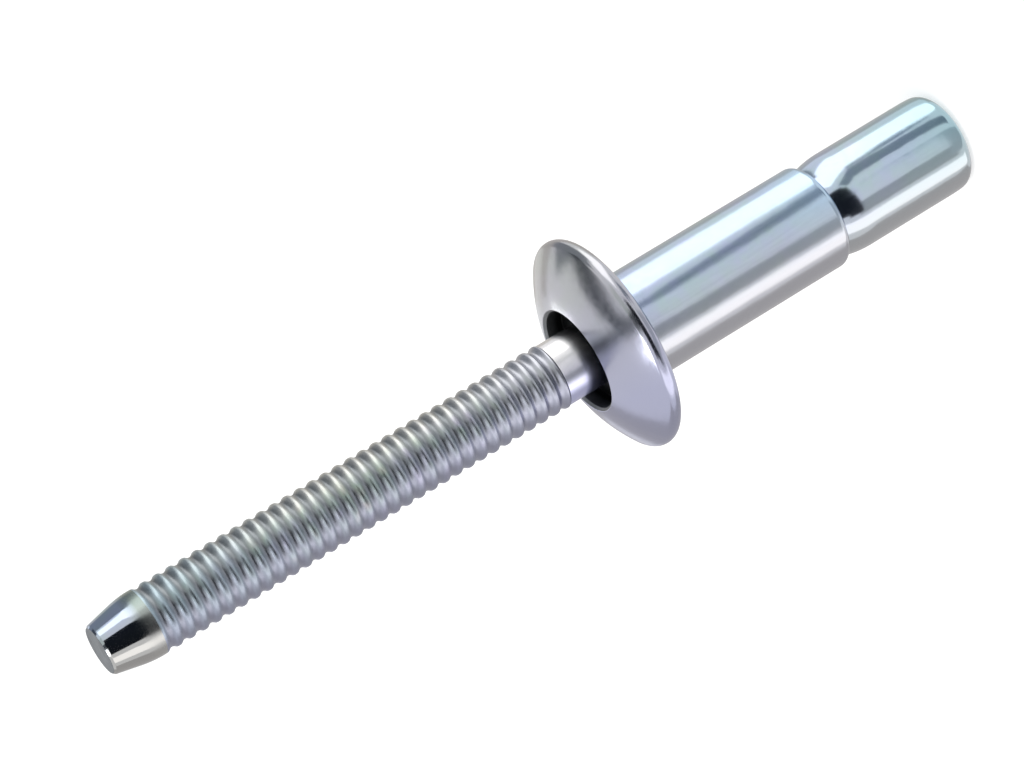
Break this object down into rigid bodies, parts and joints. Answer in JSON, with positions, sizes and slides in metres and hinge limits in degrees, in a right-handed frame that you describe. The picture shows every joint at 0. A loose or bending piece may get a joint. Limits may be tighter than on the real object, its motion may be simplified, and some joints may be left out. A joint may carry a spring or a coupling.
{
  "type": "structural blind rivet",
  "caption": "Unset domed-head steel blind rivet: a tubular body on a mandrel whose ring-grooved stem is pulled to set it from one side.",
  "frame": {"origin": "on the rivet's axis, in the plane of the head's seat against the joined sheets", "axes": "+Z along the axis towards the tip of the pull stem, -Z towards the blind end; X and Y are free, because the rivet is round"},
  "size_m": [0.0098, 0.0098, 0.0433],
  "materials": {
    "plated_body": "bright zinc plating, satin on the head",
    "plated_mandrel": "bright zinc plating over drawn and rolled steel"
  },
  "bodies": {
    "root": {"rivet_body": "plated_body", "mandrel": "plated_mandrel"}
  },
  "joints": []
}
